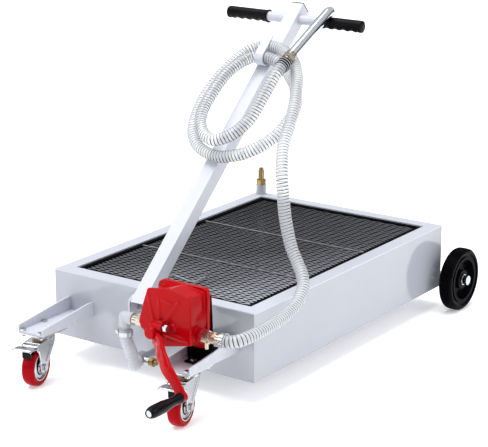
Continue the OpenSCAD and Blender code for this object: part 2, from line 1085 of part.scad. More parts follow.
tank_body();
tank_rim();
arm_left();
arm_right();
caster_plates();
caster_bolts();
rear_axle();
axle_brackets();
axle_nuts();
handle_bracket();
pivot_bolt();
corner_pipe();
corner_bushing();
corner_barb();
pump_foot();
pump_body();
pump_cover();
pump_bolts();
pump_inlet();
inlet_elbow();
suction_hose();
hose_clamps();
outlet_elbow();
tank_outlet();
drain_plug();
pump_outlet();
screen_frame();
screen_mesh();
screen_rods();
screen_pull();
handle_tube();
tube_cap();
t_bar();
grip_left();
grip_right();
hose_hook();
discharge_hose();
hose_end_clamp();
nozzle_fitting();
nozzle_spout();
pump_rotor();
crank_hub();
crank_arm();
crank_bolt();
crank_pin();
crank_grip();
fork_left();
fork_right();
caster_axle_left();
caster_axle_right();
caster_tread_left();
caster_tread_right();
caster_hub_left();
caster_hub_right();
pedal_left();
pedal_right();
tyre_left();
tyre_right();
rim_left();
rim_right();
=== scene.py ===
# Wheeled oil drain pan with a hand pump: the looks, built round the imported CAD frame.
# Shapes are drawn in millimetres in the axes of the tank, the handle or a caster, and a matrix takes them
# to the frame's metres. The tank's axes have y = 0 on its front face and z = 0 on the floor.
import json
import math

import bmesh
import bpy
from mathutils import Matrix, Vector


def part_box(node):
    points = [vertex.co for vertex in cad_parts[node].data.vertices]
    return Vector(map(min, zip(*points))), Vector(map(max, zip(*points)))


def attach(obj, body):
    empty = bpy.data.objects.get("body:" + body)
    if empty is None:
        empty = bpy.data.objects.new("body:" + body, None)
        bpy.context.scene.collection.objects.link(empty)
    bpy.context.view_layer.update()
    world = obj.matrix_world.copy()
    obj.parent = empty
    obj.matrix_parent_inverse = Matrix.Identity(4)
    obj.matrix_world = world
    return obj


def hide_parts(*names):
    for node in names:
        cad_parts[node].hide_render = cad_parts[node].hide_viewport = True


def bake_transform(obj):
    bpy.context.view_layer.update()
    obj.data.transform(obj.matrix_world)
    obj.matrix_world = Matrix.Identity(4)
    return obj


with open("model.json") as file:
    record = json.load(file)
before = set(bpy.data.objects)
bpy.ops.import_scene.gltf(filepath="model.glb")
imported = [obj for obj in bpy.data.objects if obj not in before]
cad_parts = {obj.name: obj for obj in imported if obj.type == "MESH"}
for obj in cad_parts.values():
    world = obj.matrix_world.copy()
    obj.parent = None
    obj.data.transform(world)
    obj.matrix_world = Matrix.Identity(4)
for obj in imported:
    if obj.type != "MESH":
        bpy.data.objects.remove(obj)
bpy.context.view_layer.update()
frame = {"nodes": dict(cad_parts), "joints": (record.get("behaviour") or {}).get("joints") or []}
NODES = frame["nodes"]
JOINTS = {joint["name"]: joint for joint in frame["joints"]}
SIDES = {"left": -1, "right": 1}
HOSE_PITCH, SUCTION_PITCH = 8.0, 6.0   # from turn to turn of the wire in each hose's wall


# ---------------------------------------------------------------- places
def mm_box(node):
    """A CAD node's lowest and highest corners in the frame, in millimetres to a hundredth."""
    return [[round(v * 1000, 2) for v in corner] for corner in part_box(node)]


FRONT = mm_box("tank_body")[0][1]
RIM_TOP = mm_box("tank_rim")[1][2]
LEAN = math.radians(42.4)              # the handle's slope above the floor
HANDLE_X = 9                           # the handle stands a little to the right of the middle
TUBE_LIFT = 19.3                       # from the rim's front edge to the middle of the handle's tube
UP = Vector((0, math.cos(LEAN), math.sin(LEAN)))
OUT = Vector((0, -math.sin(LEAN), math.cos(LEAN)))
FOOT = Vector((HANDLE_X, 0, RIM_TOP)) + OUT * TUBE_LIFT


def tank_point(x, y, z):
    """A point in the tank's axes, as a point of the frame in metres."""
    return Vector((x, y + FRONT, z)) / 1000


def handle_point(x, s, h):
    """A point on the handle (across, along the tube, out from it), as a point of the frame in metres."""
    p = FOOT + Vector((x, 0, 0)) + UP * s + OUT * h
    return tank_point(p.x, p.y, p.z)


def tank_box(node):
    """A CAD node's lowest and highest corners in the tank's axes."""
    return [(x, y - FRONT, z) for x, y, z in mm_box(node)]


def caster_matrix(tag):
    """A caster's axes: the kingpin stands at x = y = 0, and the wheel trails towards -Y."""
    x, y, _ = JOINTS["swivel_" + tag]["pos_m"]
    axle = JOINTS["caster_spin_" + tag]["axis"]
    turn = math.atan2(axle[1], axle[0])
    return Matrix.Translation((x, y, 0)) @ Matrix.Rotation(turn, 4, "Z") @ Matrix.Scale(0.001, 4)


TANK = Matrix.Translation(tank_point(0, 0, 0)) @ Matrix.Scale(0.001, 4)
HANDLE = Matrix.Translation(handle_point(0, 0, 0)) @ Matrix.Rotation(LEAN, 4, "X") @ Matrix.Scale(0.001, 4)


def link(name, data):
    """A new object in the scene."""
    ob = bpy.data.objects.new(name, data)
    bpy.context.scene.collection.objects.link(ob)
    return ob


# ---------------------------------------------------------------- camera
def camera():
    """The photograph's view, solved from the tank's edges, with the angles in degrees and the lens in mm."""
    azimuth, elevation, roll = (math.radians(v) for v in (34.85, 16.26, 0.12))
    place = tank_point(2571.4, -3290.8, 1625.6)
    level = math.cos(elevation)
    back = Vector((math.sin(azimuth) * level, -math.cos(azimuth) * level, math.sin(elevation)))
    right = Vector((math.cos(azimuth), math.sin(azimuth), 0))
    axes = Matrix((right, back.cross(right), back)).transposed().to_4x4()
    data = bpy.data.cameras.new("camera")
    data.sensor_width = 36
    data.lens = 131.3
    data.clip_end = 60
    ob = link("camera", data)
    ob.matrix_world = Matrix.Translation(place) @ axes @ Matrix.Rotation(roll, 4, "Z")
    bpy.context.scene.camera = ob
    bpy.context.scene.view_settings.view_transform = "Standard"


camera()


# ---------------------------------------------------------------- mesh helpers
def from_bmesh(name, bm, matrix=None, smooth=True):
    """An object from a bmesh, with its faces turned outwards and its points taken through a matrix."""
    bmesh.ops.recalc_face_normals(bm, faces=bm.faces)
    me = bpy.data.meshes.new(name)
    bm.to_mesh(me)
    bm.free()
    if matrix is not None:
        me.transform(matrix)
    me.polygons.foreach_set("use_smooth", [smooth] * len(me.polygons))
    return link(name, me)


def into_bmesh(bm, verts, faces):
    """Adds points and faces given by number to a bmesh."""
    made = [bm.verts.new(v) for v in verts]
    for face in faces:
        bm.faces.new([made[i] for i in face])


def from_points(name, verts, faces, smooth=True, matrix=None):
    """An object from points, and faces given by number."""
    bm = bmesh.new()
    into_bmesh(bm, verts, faces)
    return from_bmesh(name, bm, matrix, smooth)


def bevel(ob, width, segments=2, angle=35):
    """Rounds a piece's edges by a modifier."""
    rounding = ob.modifiers.new("edge", "BEVEL")
    rounding.width = width / 1000
    rounding.segments = segments
    rounding.limit_method = "ANGLE"
    rounding.angle_limit = math.radians(angle)
    rounding.harden_normals = False
    rounding.use_clamp_overlap = True
    return ob


def sharp(ob, angle=35):
    """Marks the edges sharper than an angle, so that smooth shading keeps them."""
    bm = bmesh.new()
    bm.from_mesh(ob.data)
    for edge in bm.edges:
        if len(edge.link_faces) == 2:
            edge.smooth = edge.calc_face_angle(0) < math.radians(angle)
    bm.to_mesh(ob.data)
    bm.free()
    return ob


def band_faces(rings, sides, closed=False):
    """The quads between rings of points. closed joins the last ring to the first."""
    faces = []
    for i in range(rings if closed else rings - 1):
        a, b = i * sides, (i + 1) % rings * sides
        for k in range(sides):
            m = (k + 1) % sides
            faces.append((a + k, a + m, b + m, b + k))
    return faces


def end_faces(rings, sides):
    """The two faces that close a run of rings at its ends."""
    last = (rings - 1) * sides
    return [tuple(range(sides - 1, -1, -1)), tuple(range(last, last + sides))]


def plate_faces(rows, cols):
    """The faces of a closed plate: rows of points on its upper side, then the same rows on its lower side."""
    base = rows * cols
    faces = []
    for i in range(rows - 1):
        for k in range(cols - 1):
            a, d = i * cols + k, (i + 1) * cols + k
            faces.append((a, a + 1, d + 1, d))
            faces.append((base + d, base + d + 1, base + a + 1, base + a))
        for k in (0, cols - 1):
            a, d = i * cols + k, (i + 1) * cols + k
            faces.append((a, d, base + d, base + a))
    for i in (0, rows - 1):
        for k in range(cols - 1):
            a = i * cols + k
            faces.append((a, a + 1, base + a + 1, base + a))
    return faces


def lathe(name, profile, matrix, axis="X", steps=96, wave=None):
    """A closed ring profile of (along, radius) points turned about an axis.
    wave(angle, along, radius) may change a radius round the turn."""
    verts = []
    for i in range(steps):
        a = 2 * math.pi * i / steps
        for t, r in profile:
            r = wave(a, t, r) if wave else r
            c, s = r * math.cos(a), r * math.sin(a)
            verts.append({"X": (t, c, s), "Y": (s, t, c), "Z": (c, s, t)}[axis])
    faces = band_faces(steps, len(profile), closed=True)
    return sharp(from_points(name, verts, faces, True, matrix), 38)


def mirrored(half):
    """A ring profile from its half on the side of positive x."""
    return half + [(-x, r) for x, r in reversed(half) if x > 0]


def catmull(points, per=6):
    """A smooth run of points through the given ones."""
    p = [Vector(v) for v in points]
    p = [p[0] * 2 - p[1]] + p + [p[-1] * 2 - p[-2]]
    out = []
    for a, b, c, d in zip(p, p[1:], p[2:], p[3:]):
        for k in range(per):
            t = k / per
            out.append(0.5 * ((2 * b) + (c - a) * t + (2 * a - 5 * b + 4 * c - d) * t * t
                              + (3 * b - a - 3 * c + d) * t ** 3))
    out.append(p[-2].copy())
    return out


def evenly(points, step):
    """The same run of points, spaced evenly, and its length."""
    lengths = [0.0]
    for a, b in zip(points, points[1:]):
        lengths.append(lengths[-1] + (b - a).length)
    total = lengths[-1]
    n = max(2, round(total / step))
    out, j = [], 0
    for i in range(n + 1):
        d = total * i / n
        while j < len(points) - 2 and lengths[j + 1] < d:
            j += 1
        seg = lengths[j + 1] - lengths[j]
        t = 0 if seg == 0 else (d - lengths[j]) / seg
        out.append(points[j].lerp(points[j + 1], min(1, max(0, t))))
    return out, total


def tube_mesh(name, path, radius, sides, start, end, ripple=0.0, pitch=0.005):
    """A tube along a path, in metres, from the direction start to the direction end. ripple raises a spiral
    ridge of that height at that pitch. Its UV map runs round the tube in U and counts millimetres in V."""
    n = len(path)
    ahead = [(path[min(n - 1, i + 1)] - path[max(0, i - 1)]).normalized() for i in range(n)]
    ahead[0] = Vector(start).normalized()
    ahead[-1] = Vector(end).normalized()
    side = ahead[0].cross(Vector((0.31, 0.17, 0.94))).normalized()
    verts, along = [], [0.0]
    for i in range(n):
        if i:
            along.append(along[-1] + (path[i] - path[i - 1]).length)
        side = (side - side.dot(ahead[i]) * ahead[i]).normalized()
        other = ahead[i].cross(side)
        for k in range(sides):
            a = 2 * math.pi * k / sides
            phase = 2 * math.pi * along[i] / pitch - a
            r = radius + ripple * (0.5 + 0.5 * math.cos(phase)) - ripple
            verts.append(path[i] + r * (math.cos(a) * side + math.sin(a) * other))
    me = bpy.data.meshes.new(name)
    me.from_pydata([tuple(v) for v in verts], [], band_faces(n, sides) + end_faces(n, sides))
    uv = me.uv_layers.new(name="UVMap")
    for poly in me.polygons:
        at_seam = len(poly.vertices) == 4 and any(v % sides == sides - 1 for v in poly.vertices)
        for loop in poly.loop_indices:
            i, k = divmod(me.loops[loop].vertex_index, sides)
            u = 1.0 if at_seam and k == 0 else k / sides
            uv.data[loop].uv = (u, along[i] * 1000)
    me.polygons.foreach_set("use_smooth", [len(p.vertices) == 4 for p in me.polygons])
    return link(name, me)


def join_rings(bm, first, last):
    """Closes a solid between two rings of as many vertices."""
    bm.faces.new(first)
    bm.faces.new(last[::-1])
    for i in range(len(first)):
        j = (i + 1) % len(first)
        bm.faces.new((first[j], first[i], last[i], last[j]))


def prism_into(bm, outline, start, end, axis="Y", shrink=1.0):
    """An outline of (x, z) corners carried along Y, or of (y, z) corners along X, from start to end.
    shrink scales the start's outline about its middle."""
    mid_u = sum(u for u, _ in outline) / len(outline)
    mid_v = sum(v for _, v in outline) / len(outline)

    def corner(u, v, at):
        return bm.verts.new((u, at, v) if axis == "Y" else (at, u, v))

    first = [corner(mid_u + (u - mid_u) * shrink, mid_v + (v - mid_v) * shrink, start) for u, v in outline]
    join_rings(bm, first, [corner(u, v, end) for u, v in outline])


def box_into(bm, lo, hi):
    """A box between its lowest and highest corners."""
    x0, y0, z0 = lo
    x1, y1, z1 = hi
    prism_into(bm, [(x0, z0), (x1, z0), (x1, z1), (x0, z1)], y0, y1)


def disc_into(bm, matrix, radius, height, sides=32, top=None):
    """A cylinder, or a cone of another radius on top, along the matrix's Z."""
    bmesh.ops.create_cone(bm, cap_ends=True, cap_tris=False, segments=sides, radius1=radius,
                          radius2=radius if top is None else top, depth=height,
                          matrix=matrix @ Matrix.Translation((0, 0, height / 2)))


def bar_into(bm, a, b, r0, r1=None, sides=32):
    """A round bar from a to b, of radius r0 at a and r1 at b."""
    a, b = Vector(a), Vector(b)
    turn = Vector((0, 0, 1)).rotation_difference(b - a).to_matrix().to_4x4()
    disc_into(bm, Matrix.Translation(a) @ turn, r0, (b - a).length, sides, r1)


def rib_into(bm, a, b, foot, crest, low, high):
    """A ridge from a to b on a face towards -Y. foot and crest are half its widths at the bottom and the top,
    low and high its heights at a and b."""
    a, b = Vector(a), Vector(b)
    d = (b - a).normalized()
    s = Vector((-d.z, 0, d.x))
    rings = []
    for p, h in ((a, low), (b, high)):
        top = p + Vector((0, -h, 0))
        corners = (p + s * foot, p - s * foot, top - s * crest, top + s * crest)
        rings.append([bm.verts.new(v) for v in corners])
    join_rings(bm, *rings)


def cast(name, bm, matrix, voxel=1.6, rounds=4):
    """Fuses overlapping closed shapes into one skin with soft fillets, like a sand casting.
    voxel is the finest detail that stays, in millimetres."""
    ob = from_bmesh(name, bm)
    fuse = ob.modifiers.new("fuse", "REMESH")
    fuse.mode = "VOXEL"
    fuse.voxel_size = voxel
    fuse.use_smooth_shade = True
    soften = ob.modifiers.new("soften", "SMOOTH")
    soften.iterations = rounds
    soften.factor = 0.5
    rough = ob.data
    skin = bpy.data.meshes.new_from_object(ob.evaluated_get(bpy.context.evaluated_depsgraph_get()))
    ob.modifiers.clear()
    ob.data = skin
    bpy.data.meshes.remove(rough)
    skin.name = name
    skin.transform(matrix)
    skin.polygons.foreach_set("use_smooth", [True] * len(skin.polygons))
    return ob


# ---------------------------------------------------------------- material helpers
def material(name, color, rough=0.5, metal=0.0, coat=0.0, spec=0.5):
    """A material, its node tree and its shader, with the values that are the same all over it."""
    mat = bpy.data.materials.new(name)
    mat.use_nodes = True
    tree = mat.node_tree
    shader = tree.nodes["Principled BSDF"]
    shader.inputs["Base Color"].default_value = (*color, 1)
    shader.inputs["Roughness"].default_value = rough
    shader.inputs["Metallic"].default_value = metal
    shader.inputs["Coat Weight"].default_value = coat
    shader.inputs["Specular IOR Level"].default_value = spec
    return mat, tree, shader


def coords(tree):
    """The object's own coordinates. At rest they are the frame's, as a piece's place is in its mesh."""
    return tree.nodes.new("ShaderNodeTexCoord").outputs["Object"]


def separate(tree, vector):
    """A vector's X, Y and Z."""
    n = tree.nodes.new("ShaderNodeSeparateXYZ")
    tree.links.new(vector, n.inputs["Vector"])
    return n.outputs


def calc(tree, operation, *values):
    """A Math node's result. Each value is a number or another node's output."""
    n = tree.nodes.new("ShaderNodeMath")
    n.operation = operation
    for socket, value in zip(n.inputs, values):
        if isinstance(value, (int, float)):
            socket.default_value = value
        else:
            tree.links.new(value, socket)
    return n.outputs[0]


def noise_of(tree, scale, detail=3, rough=0.5, stretch=None):
    """Noise over the object's own coordinates, in metres, which stretch may scale along each axis."""
    vector = coords(tree)
    if stretch:
        mapping = tree.nodes.new("ShaderNodeMapping")
        mapping.inputs["Scale"].default_value = stretch
        tree.links.new(vector, mapping.inputs["Vector"])
        vector = mapping.outputs["Vector"]
    n = tree.nodes.new("ShaderNodeTexNoise")
    n.inputs["Scale"].default_value = scale
    n.inputs["Detail"].default_value = detail
    n.inputs["Roughness"].default_value = rough
    tree.links.new(vector, n.inputs["Vector"])
    return n.outputs["Fac"]


def ramp(tree, fac, stops):
    """Colours, or greys given by one number, along a value from 0 to 1."""
    r = tree.nodes.new("ShaderNodeValToRGB")
    elements = r.color_ramp.elements
    while len(elements) < len(stops):
        elements.new(0.5)
    for element, (position, color) in zip(elements, stops):
        element.position = position
        element.color = (*color, 1) if len(color) == 3 else (*color * 3, 1)
    tree.links.new(fac, r.inputs["Fac"])
    return r.outputs["Color"]


def span(tree, fac, lo, hi, start=0.0, end=1.0):
    """Carries the values from start to end over to lo to hi."""
    r = tree.nodes.new("ShaderNodeMapRange")
    r.inputs["From Min"].default_value = start
    r.inputs["From Max"].default_value = end
    r.inputs["To Min"].default_value = lo
    r.inputs["To Max"].default_value = hi
    tree.links.new(fac, r.inputs["Value"])
    return r.outputs["Result"]


def bump(tree, shader, height, strength, distance):
    b = tree.nodes.new("ShaderNodeBump")
    b.inputs["Strength"].default_value = strength
    b.inputs["Distance"].default_value = distance
    tree.links.new(height, b.inputs["Height"])
    tree.links.new(b.outputs["Normal"], shader.inputs["Normal"])


def shade(color, k):
    """A colour made darker or paler, k times itself."""
    return tuple(min(1.0, c * k) for c in color)


def mottle(tree, shader, color, pattern, darker, paler):
    """Varies the base colour along a pattern, down to darker times and up to paler times itself."""
    stops = [(0.3, shade(color, darker)), (0.7, shade(color, paler))]
    tree.links.new(ramp(tree, pattern, stops), shader.inputs["Base Color"])


def mix_over(tree, shader, blend):
    """Puts a Mix node on the base colour, over what feeds it already."""
    mix = tree.nodes.new("ShaderNodeMix")
    mix.data_type = "RGBA"
    mix.blend_type = blend
    mix.inputs["Factor"].default_value = 1.0
    tree.links.new(shader.inputs["Base Color"].links[0].from_socket, mix.inputs["A"])
    tree.links.new(mix.outputs["Result"], shader.inputs["Base Color"])
    return mix


# ---------------------------------------------------------------- kinds of material
def painted(name, color, rough, cell, depth, coat=0.2, vary=0.03, spec=0.5):
    """Paint or enamel: cell and depth are its orange peel's scale and strength."""
    mat, tree, shader = material(name, color, rough, 0.0, coat, spec)
    shader.inputs["Coat Roughness"].default_value = 0.25
    mottle(tree, shader, color, noise_of(tree, 6, 4), 1 - vary, 1 + vary)
    tree.links.new(span(tree, noise_of(tree, 40), rough - 0.05, rough + 0.07), shader.inputs["Roughness"])
    bump(tree, shader, noise_of(tree, cell, 2), depth, 0.0004)
    return mat


def metal_of(name, color, rough, streak=(60, 60, 60), vary=0.12, depth=0.08):
    """Bare or plated metal, with marks stretched by streak."""
    mat, tree, shader = material(name, color, rough, 1.0)
    marks = noise_of(tree, 10, 4, 0.6, streak)
    mottle(tree, shader, color, marks, 1 - vary, 1 + vary * 0.6)
    gloss = span(tree, noise_of(tree, 90), max(0.02, rough - 0.08), rough + 0.12)
    tree.links.new(gloss, shader.inputs["Roughness"])
    bump(tree, shader, marks, depth, 0.0003)
    return mat


def rubber_of(name, color, rough, cell, depth, vary=0.15, spec=0.4):
    """Rubber or moulded plastic with a fine grain."""
    mat, tree, shader = material(name, color, rough, 0.0, 0.0, spec)
    mottle(tree, shader, color, noise_of(tree, 25), 1 - vary, 1 + vary)
    tree.links.new(span(tree, noise_of(tree, 60), rough - 0.08, rough + 0.08), shader.inputs["Roughness"])
    bump(tree, shader, noise_of(tree, cell), depth, 0.0004)
    return mat


def mesh_with_painted_shade(name, color, rough):
    """Steel with painted shade, darker and darker towards the back of the tank and its left."""
    mat = metal_of(name, color, rough, (90, 90, 90), 0.3)
    tree = mat.node_tree
    near_edge = tank_point(0, 60, 0).y
    slant = -1.2
    x, y, _ = separate(tree, coords(tree))
    place = span(tree, calc(tree, "MULTIPLY_ADD", x, slant, y), 0.0, 1.0, near_edge - 0.26, near_edge + 1.0)
    # painted shade: how dark the strands are, from the front right towards the back left
    shade_stops = [(0.0, (1.0,)), (0.28, (0.66,)), (0.48, (0.30,)), (0.76, (0.22,)), (1.0, (0.13,))]
    mix = mix_over(tree, tree.nodes["Principled BSDF"], "MULTIPLY")
    tree.links.new(ramp(tree, place, shade_stops), mix.inputs["B"])
    return mat


def tank_paint_shaded():
    """Pale grey paint outside, a darker copy of the arms' and the handle's grey, as painted shade. Inside the
    walls the same sheet is painted nearly black with little sheen, as painted shade.
    """
    mat = painted("tank_paint_shaded", (0.41, 0.425, 0.475), 0.08, 700, 0.02, coat=0.1, vary=0.02)
    tree = mat.node_tree
    shader = tree.nodes["Principled BSDF"]
    lo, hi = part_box("tank_body")
    half_wall = 0.0015
    x, y, z = separate(tree, coords(tree))
    inside = 1.0
    for axis, test, limit in ((x, "LESS_THAN", hi.x - half_wall), (x, "GREATER_THAN", lo.x + half_wall),
                              (y, "GREATER_THAN", lo.y + half_wall), (y, "LESS_THAN", hi.y - half_wall),
                              (z, "GREATER_THAN", lo.z + half_wall)):
        inside = calc(tree, "MULTIPLY", calc(tree, test, axis, limit), inside)
    # painted shade: the inside of the tank is made nearly black, and its specular and coat are turned down
    mix = mix_over(tree, shader, "MIX")
    mix.inputs["B"].default_value = (0.012, 0.012, 0.013, 1)
    tree.links.new(inside, mix.inputs["Factor"])
    tree.links.new(span(tree, inside, 0.5, 0.06), shader.inputs["Specular IOR Level"])
    tree.links.new(span(tree, inside, 0.15, 0.0), shader.inputs["Coat Weight"])
    return mat


def spiral_vinyl(name, pitch, base, line, clear):
    """Cloudy vinyl over a spiral wire: the near coils are dark, the far ones show through paler.
    V of the UV map is millimetres along the hose, and U runs once round it."""
    mat, tree, shader = material(name, base, 0.16, 0.0, 0.3)
    shader.inputs["Coat Roughness"].default_value = 0.08
    uv = tree.nodes.new("ShaderNodeUVMap")
    uv.uv_map = "UVMap"
    u, v, _ = separate(tree, uv.outputs["UV"])
    turns = calc(tree, "MULTIPLY", v, 1 / pitch)

    def coil(lean, edge):
        wave = calc(tree, "SINE", calc(tree, "MULTIPLY", calc(tree, lean, turns, u), 2 * math.pi))
        return calc(tree, "POWER", calc(tree, "MULTIPLY_ADD", wave, 0.5, 0.5), edge)

    near = coil("SUBTRACT", 6.0)
    far = calc(tree, "MULTIPLY", coil("ADD", 7.0), span(tree, noise_of(tree, 60, 3, 0.6), 0.2, 0.95))
    both = calc(tree, "MINIMUM", calc(tree, "ADD", near, far), 1.0)
    stops = [(0.0, base), (0.30, shade(base, 0.85)), (0.85, line)]
    tree.links.new(ramp(tree, both, stops), shader.inputs["Base Color"])
    tree.links.new(span(tree, both, clear, 1.0), shader.inputs["Alpha"])
    tree.links.new(span(tree, near, 0.12, 0.3), shader.inputs["Roughness"])
    bump(tree, shader, near, 0.3, 0.0006)
    return mat


# ---------------------------------------------------------------- materials
MATERIALS = {
    # The tank, the arms and the handle wear one grey paint: the arms' and the handle's paler copies are
    # painted light, and the tank's darker copy is painted shade.
    "tank": tank_paint_shaded(),
    "arm": painted("arm_paint_lit", (0.56, 0.575, 0.64), 0.25, 700, 0.05, coat=0.15, vary=0.02),
    "handle": painted("handle_paint_lit", (0.55, 0.565, 0.63), 0.20, 700, 0.04, coat=0.2, vary=0.02),
    "pipe": painted("pipe_paint", (0.42, 0.43, 0.475), 0.40, 300, 0.25, coat=0.15, vary=0.05),
    "pale": painted("cream_ring", (0.78, 0.70, 0.62), 0.4, 300, 0.1, coat=0.1, vary=0.05),
    "red": painted("red_enamel", (0.40, 0.001, 0.004), 0.12, 260, 0.30, coat=0.05, vary=0.10, spec=0.07),
    "black": painted("black_satin", (0.003, 0.003, 0.004), 0.50, 500, 0.15, coat=0.0, vary=0.2, spec=0.01),
    "rim": painted("wheel_rim_black", (0.003, 0.003, 0.004), 0.30, 400, 0.2, coat=0.0, vary=0.2, spec=0.02),
    "zinc": metal_of("zinc_plate", (0.50, 0.51, 0.53), 0.20),
    "plate": metal_of("stamped_zinc", (0.52, 0.53, 0.55), 0.16, streak=(30, 30, 120)),
    "steel": metal_of("drawn_steel", (0.55, 0.56, 0.58), 0.3, streak=(8, 90, 90)),
    "race": metal_of("yellow_zinc", (0.62, 0.36, 0.17), 0.30),
    "brass": metal_of("brass", (0.34, 0.25, 0.11), 0.28, vary=0.3),
    "pale_brass": metal_of("pale_brass", (0.50, 0.45, 0.37), 0.16, vary=0.3),
    "bronze": metal_of("bronze", (0.34, 0.31, 0.26), 0.24, vary=0.35),
    "chrome": metal_of("chrome", (0.62, 0.64, 0.68), 0.06, streak=(40, 40, 40), vary=0.03, depth=0.03),
    "rods": metal_of("rod_steel", (0.48, 0.49, 0.51), 0.38),
    "wire": metal_of("bright_wire", (0.92, 0.93, 0.95), 0.30),
    "mesh": mesh_with_painted_shade("mesh_steel", (0.43, 0.44, 0.47), 0.50),
    "tyre": rubber_of("tyre_rubber", (0.002, 0.002, 0.003), 0.22, 350, 0.2, vary=0.2, spec=0.02),
    "tread": rubber_of("red_tread", (0.33, 0.002, 0.006), 0.16, 120, 0.06, vary=0.08, spec=0.04),
    "grip": rubber_of("grip_rubber", (0.003, 0.003, 0.004), 0.30, 900, 0.4, vary=0.2, spec=0.08),
    "plastic": rubber_of("black_plastic", (0.003, 0.003, 0.004), 0.16, 300, 0.06, vary=0.2, spec=0.10),
    "hose": spiral_vinyl("clear_vinyl", HOSE_PITCH, (0.84, 0.86, 0.88), (0.02, 0.024, 0.035), 0.42),
    "suction": spiral_vinyl("cloudy_vinyl", SUCTION_PITCH, (0.52, 0.54, 0.60), (0.32, 0.34, 0.40), 0.95),
}


def assign(ob, look):
    """Puts a material in every slot of an object."""
    slots = ob.data.materials
    if not len(slots):
        slots.append(MATERIALS[look])
    for i in range(len(slots)):
        slots[i] = MATERIALS[look]
    return ob


def piece(ob, look, body, slot, *nodes):
    """Gives a new piece its material and its body, and hides the CAD nodes that it stands for. slot is not
    used.
    """
    assign(ob, look)
    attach(ob, body)
    if nodes:
        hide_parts(*nodes)
    return ob


# ---------------------------------------------------------------- discharge hose
HOSE_LOW = [
    (318, -145, 216), (341, -144.5, 216), (363, -130, 221), (374, -98, 226), (378, -56, 229), (378, -8, 233),
    (376, 44, 239), (371, 92, 251), (360, 134, 273), (341, 160, 296), (317, 177, 317), (290, 188, 352),
    (274, 194, 392), (264, 197, 430), (258, 200, 468), (248, 207, 525)]
HOSE_HIGH = [
    (214, 417, 68), (200, 481, 66), (175, 562, 62), (141, 636, 53), (98, 691, 44), (50, 721, 40),
    (14, 729, 39), (-14, 728, 39), (-51, 706, 39), (-84, 650, 39), (-104, 577, 39), (-106, 506, 39),
    (-87, 438, 39), (-46, 395, 38), (22, 377, 37), (87, 398, 35), (132, 440, 32), (154, 488, 28),
    (158, 558, 22), (130, 620, 22), (88, 662, 28), (47, 686, 36), (14, 694, 39), (-13, 693, 40),
    (-41, 671, 47), (-61, 618, 60),
    (-66, 550, 68), (-62, 476, 72), (-38, 428, 72), (8, 402, 72), (54, 424, 72), (87, 474, 76),
    (102, 538, 89), (109, 590, 97.5), (111, 627, 94.6), (111, 657, 86)]
SPOUT_FOOT = HOSE_HIGH[-1]
SPOUT_TIP = (111, 856, 29.1)
SPOUT_LEAN = math.atan2(SPOUT_TIP[2] - SPOUT_FOOT[2], SPOUT_TIP[1] - SPOUT_FOOT[1])


def discharge_hose():
    """The coiled hose, with the sleeve and three turns of bare wire on its end at the spout.
    Its route is part.scad's, first in the tank's axes and then on the handle."""
    route = [tank_point(*p) for p in HOSE_LOW] + [handle_point(*p) for p in HOSE_HIGH]
    path, hose_len = evenly(catmull(route, 10), 0.00125)
    into_spout = UP * math.cos(SPOUT_LEAN) + OUT * math.sin(SPOUT_LEAN)
    hose = tube_mesh("hose_spiral", path, 0.016, sides=20, start=(1, 0, 0), end=into_spout, ripple=0.0006,
                     pitch=HOSE_PITCH / 1000)
    assign(hose, "hose")
    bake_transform(hose)
    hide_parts("discharge_hose")

    spout = HANDLE @ Matrix.Translation(SPOUT_FOOT) @ Matrix.Rotation(SPOUT_LEAN, 4, "X")
    sleeve = [(-27.0, 16.1), (-27.0, 16.9), (-1.6, 16.9), (-1.6, 16.1)]
    guard = piece(lathe("hose_end_guard", sleeve, spout, "Y", 48), "grip", "handle", "black_plastic",
                  "hose_end_clamp")
    for k in range(3):
        y = -24.5 + HOSE_PITCH * k
        ring = [(y, 16.7), (y, 18.0), (y + 0.5, 18.7), (y + 1.2, 18.7), (y + 1.7, 18.0), (y + 1.7, 16.7)]
        coil = lathe("hose_end_coil_" + str(k + 1), ring, spout, "Y", 48)
        piece(coil, "pipe", "handle", "clear_hose")


discharge_hose()


# ---------------------------------------------------------------- suction hose and its elbow
def suction_side():
    """The short hose below the pump's inlet, and the bend that it is pushed into."""
    leaves = (-0.045, 0.37, -0.93)     # the direction in which the hose meets the bend
    drop = [(34, -145, 186), (34, -145, 168), (33.5, -137, 148), (32.5, -125, 126), (31.5, -117, 106)]
    turn = [(31.5, -117, 106), (30.5, -112, 92), (28, -106, 81), (24, -96, 75), (18, -85, 74),
            (13.5, -76, 76), (12, -68, 77)]
    path, _ = evenly(catmull([tank_point(*p) for p in drop], 10), 0.0012)
    hose = tube_mesh("suction_spiral", path, 0.016, sides=20, start=(0, 0, -1), end=leaves, ripple=0.0012,
                     pitch=SUCTION_PITCH / 1000)
    piece(hose, "suction", "cart", "clear_hose", "suction_hose")
    path, _ = evenly(catmull([tank_point(*p) for p in turn], 8), 0.002)
    elbow = tube_mesh("outlet_bend", path, 0.014, sides=24, start=leaves, end=(0, 1, 0))
    piece(elbow, "pipe", "cart", "grey_pipe", "outlet_elbow")


suction_side()


